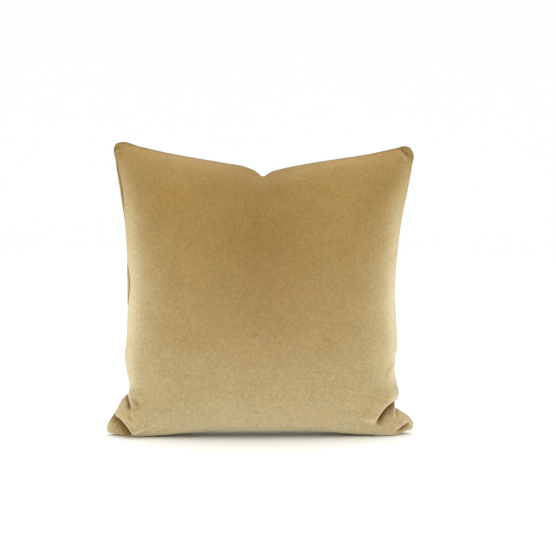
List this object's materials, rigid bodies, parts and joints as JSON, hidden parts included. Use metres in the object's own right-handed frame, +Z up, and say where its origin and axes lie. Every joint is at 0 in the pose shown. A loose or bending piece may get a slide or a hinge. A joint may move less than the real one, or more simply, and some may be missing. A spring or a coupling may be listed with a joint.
{
  "type": "throw pillow",
  "caption": "Square knife-edge throw pillow in short-pile velvet, standing on its bottom edge, with a zipped cover over a soft insert.",
  "frame": {"origin": "on the surface the pillow stands on, under the middle of its bottom seam and of its depth", "axes": "+X to the right of someone facing the front, -Y out of the front face, +Z up"},
  "size_m": [0.5, 0.19, 0.478],
  "materials": {
    "velvet_front": "camel gold short-pile velvet",
    "velvet_back": "camel gold short-pile velvet",
    "seam_thread": "matt polyester thread",
    "overlock_thread": "matt polyester thread",
    "insert_cotton": "tight plain-weave cotton",
    "insert_thread": "matt polyester thread",
    "feather_and_down": "loose feather and down",
    "zip_tape": "woven polyester tape",
    "zip_coil": "nylon coil",
    "zip_metal": "antique brass plating",
    "label_satin": "satin ribbon"
  },
  "bodies": {
    "body": {"cover_front_panel": "velvet_front", "cover_back_panel": "velvet_back", "cover_seam_thread": "seam_thread", "cover_overlock_stitching": "overlock_thread", "insert_front_panel": "insert_cotton", "insert_back_panel": "insert_cotton", "insert_seam_thread": "insert_thread", "insert_feather_fill": "feather_and_down", "zipper_tape_front": "zip_tape", "zipper_tape_back": "zip_tape", "zipper_coil_front": "zip_coil", "zipper_coil_back": "zip_coil", "zipper_top_stop_front": "zip_metal", "zipper_top_stop_back": "zip_metal", "zipper_bottom_stop": "zip_metal", "care_label": "label_satin"},
    "slider": {"zipper_slider": "zip_metal"},
    "pull": {"zipper_pull_tab": "zip_metal"}
  },
  "joints": [
    {"name": "zip_slide", "type": "slide", "parent": "body", "child": "slider", "axis": [-1, 0, 0], "range_m": [0, 0.325], "deforming": ["zipper_coil_front", "zipper_coil_back", "zipper_tape_front", "zipper_tape_back"]},
    {"name": "pull_swing", "type": "hinge", "parent": "slider", "child": "pull", "pos_m": [0.1627, 0, 0.0154], "axis": [0, 1, 0], "range_deg": [-80, 80]}
  ]
}
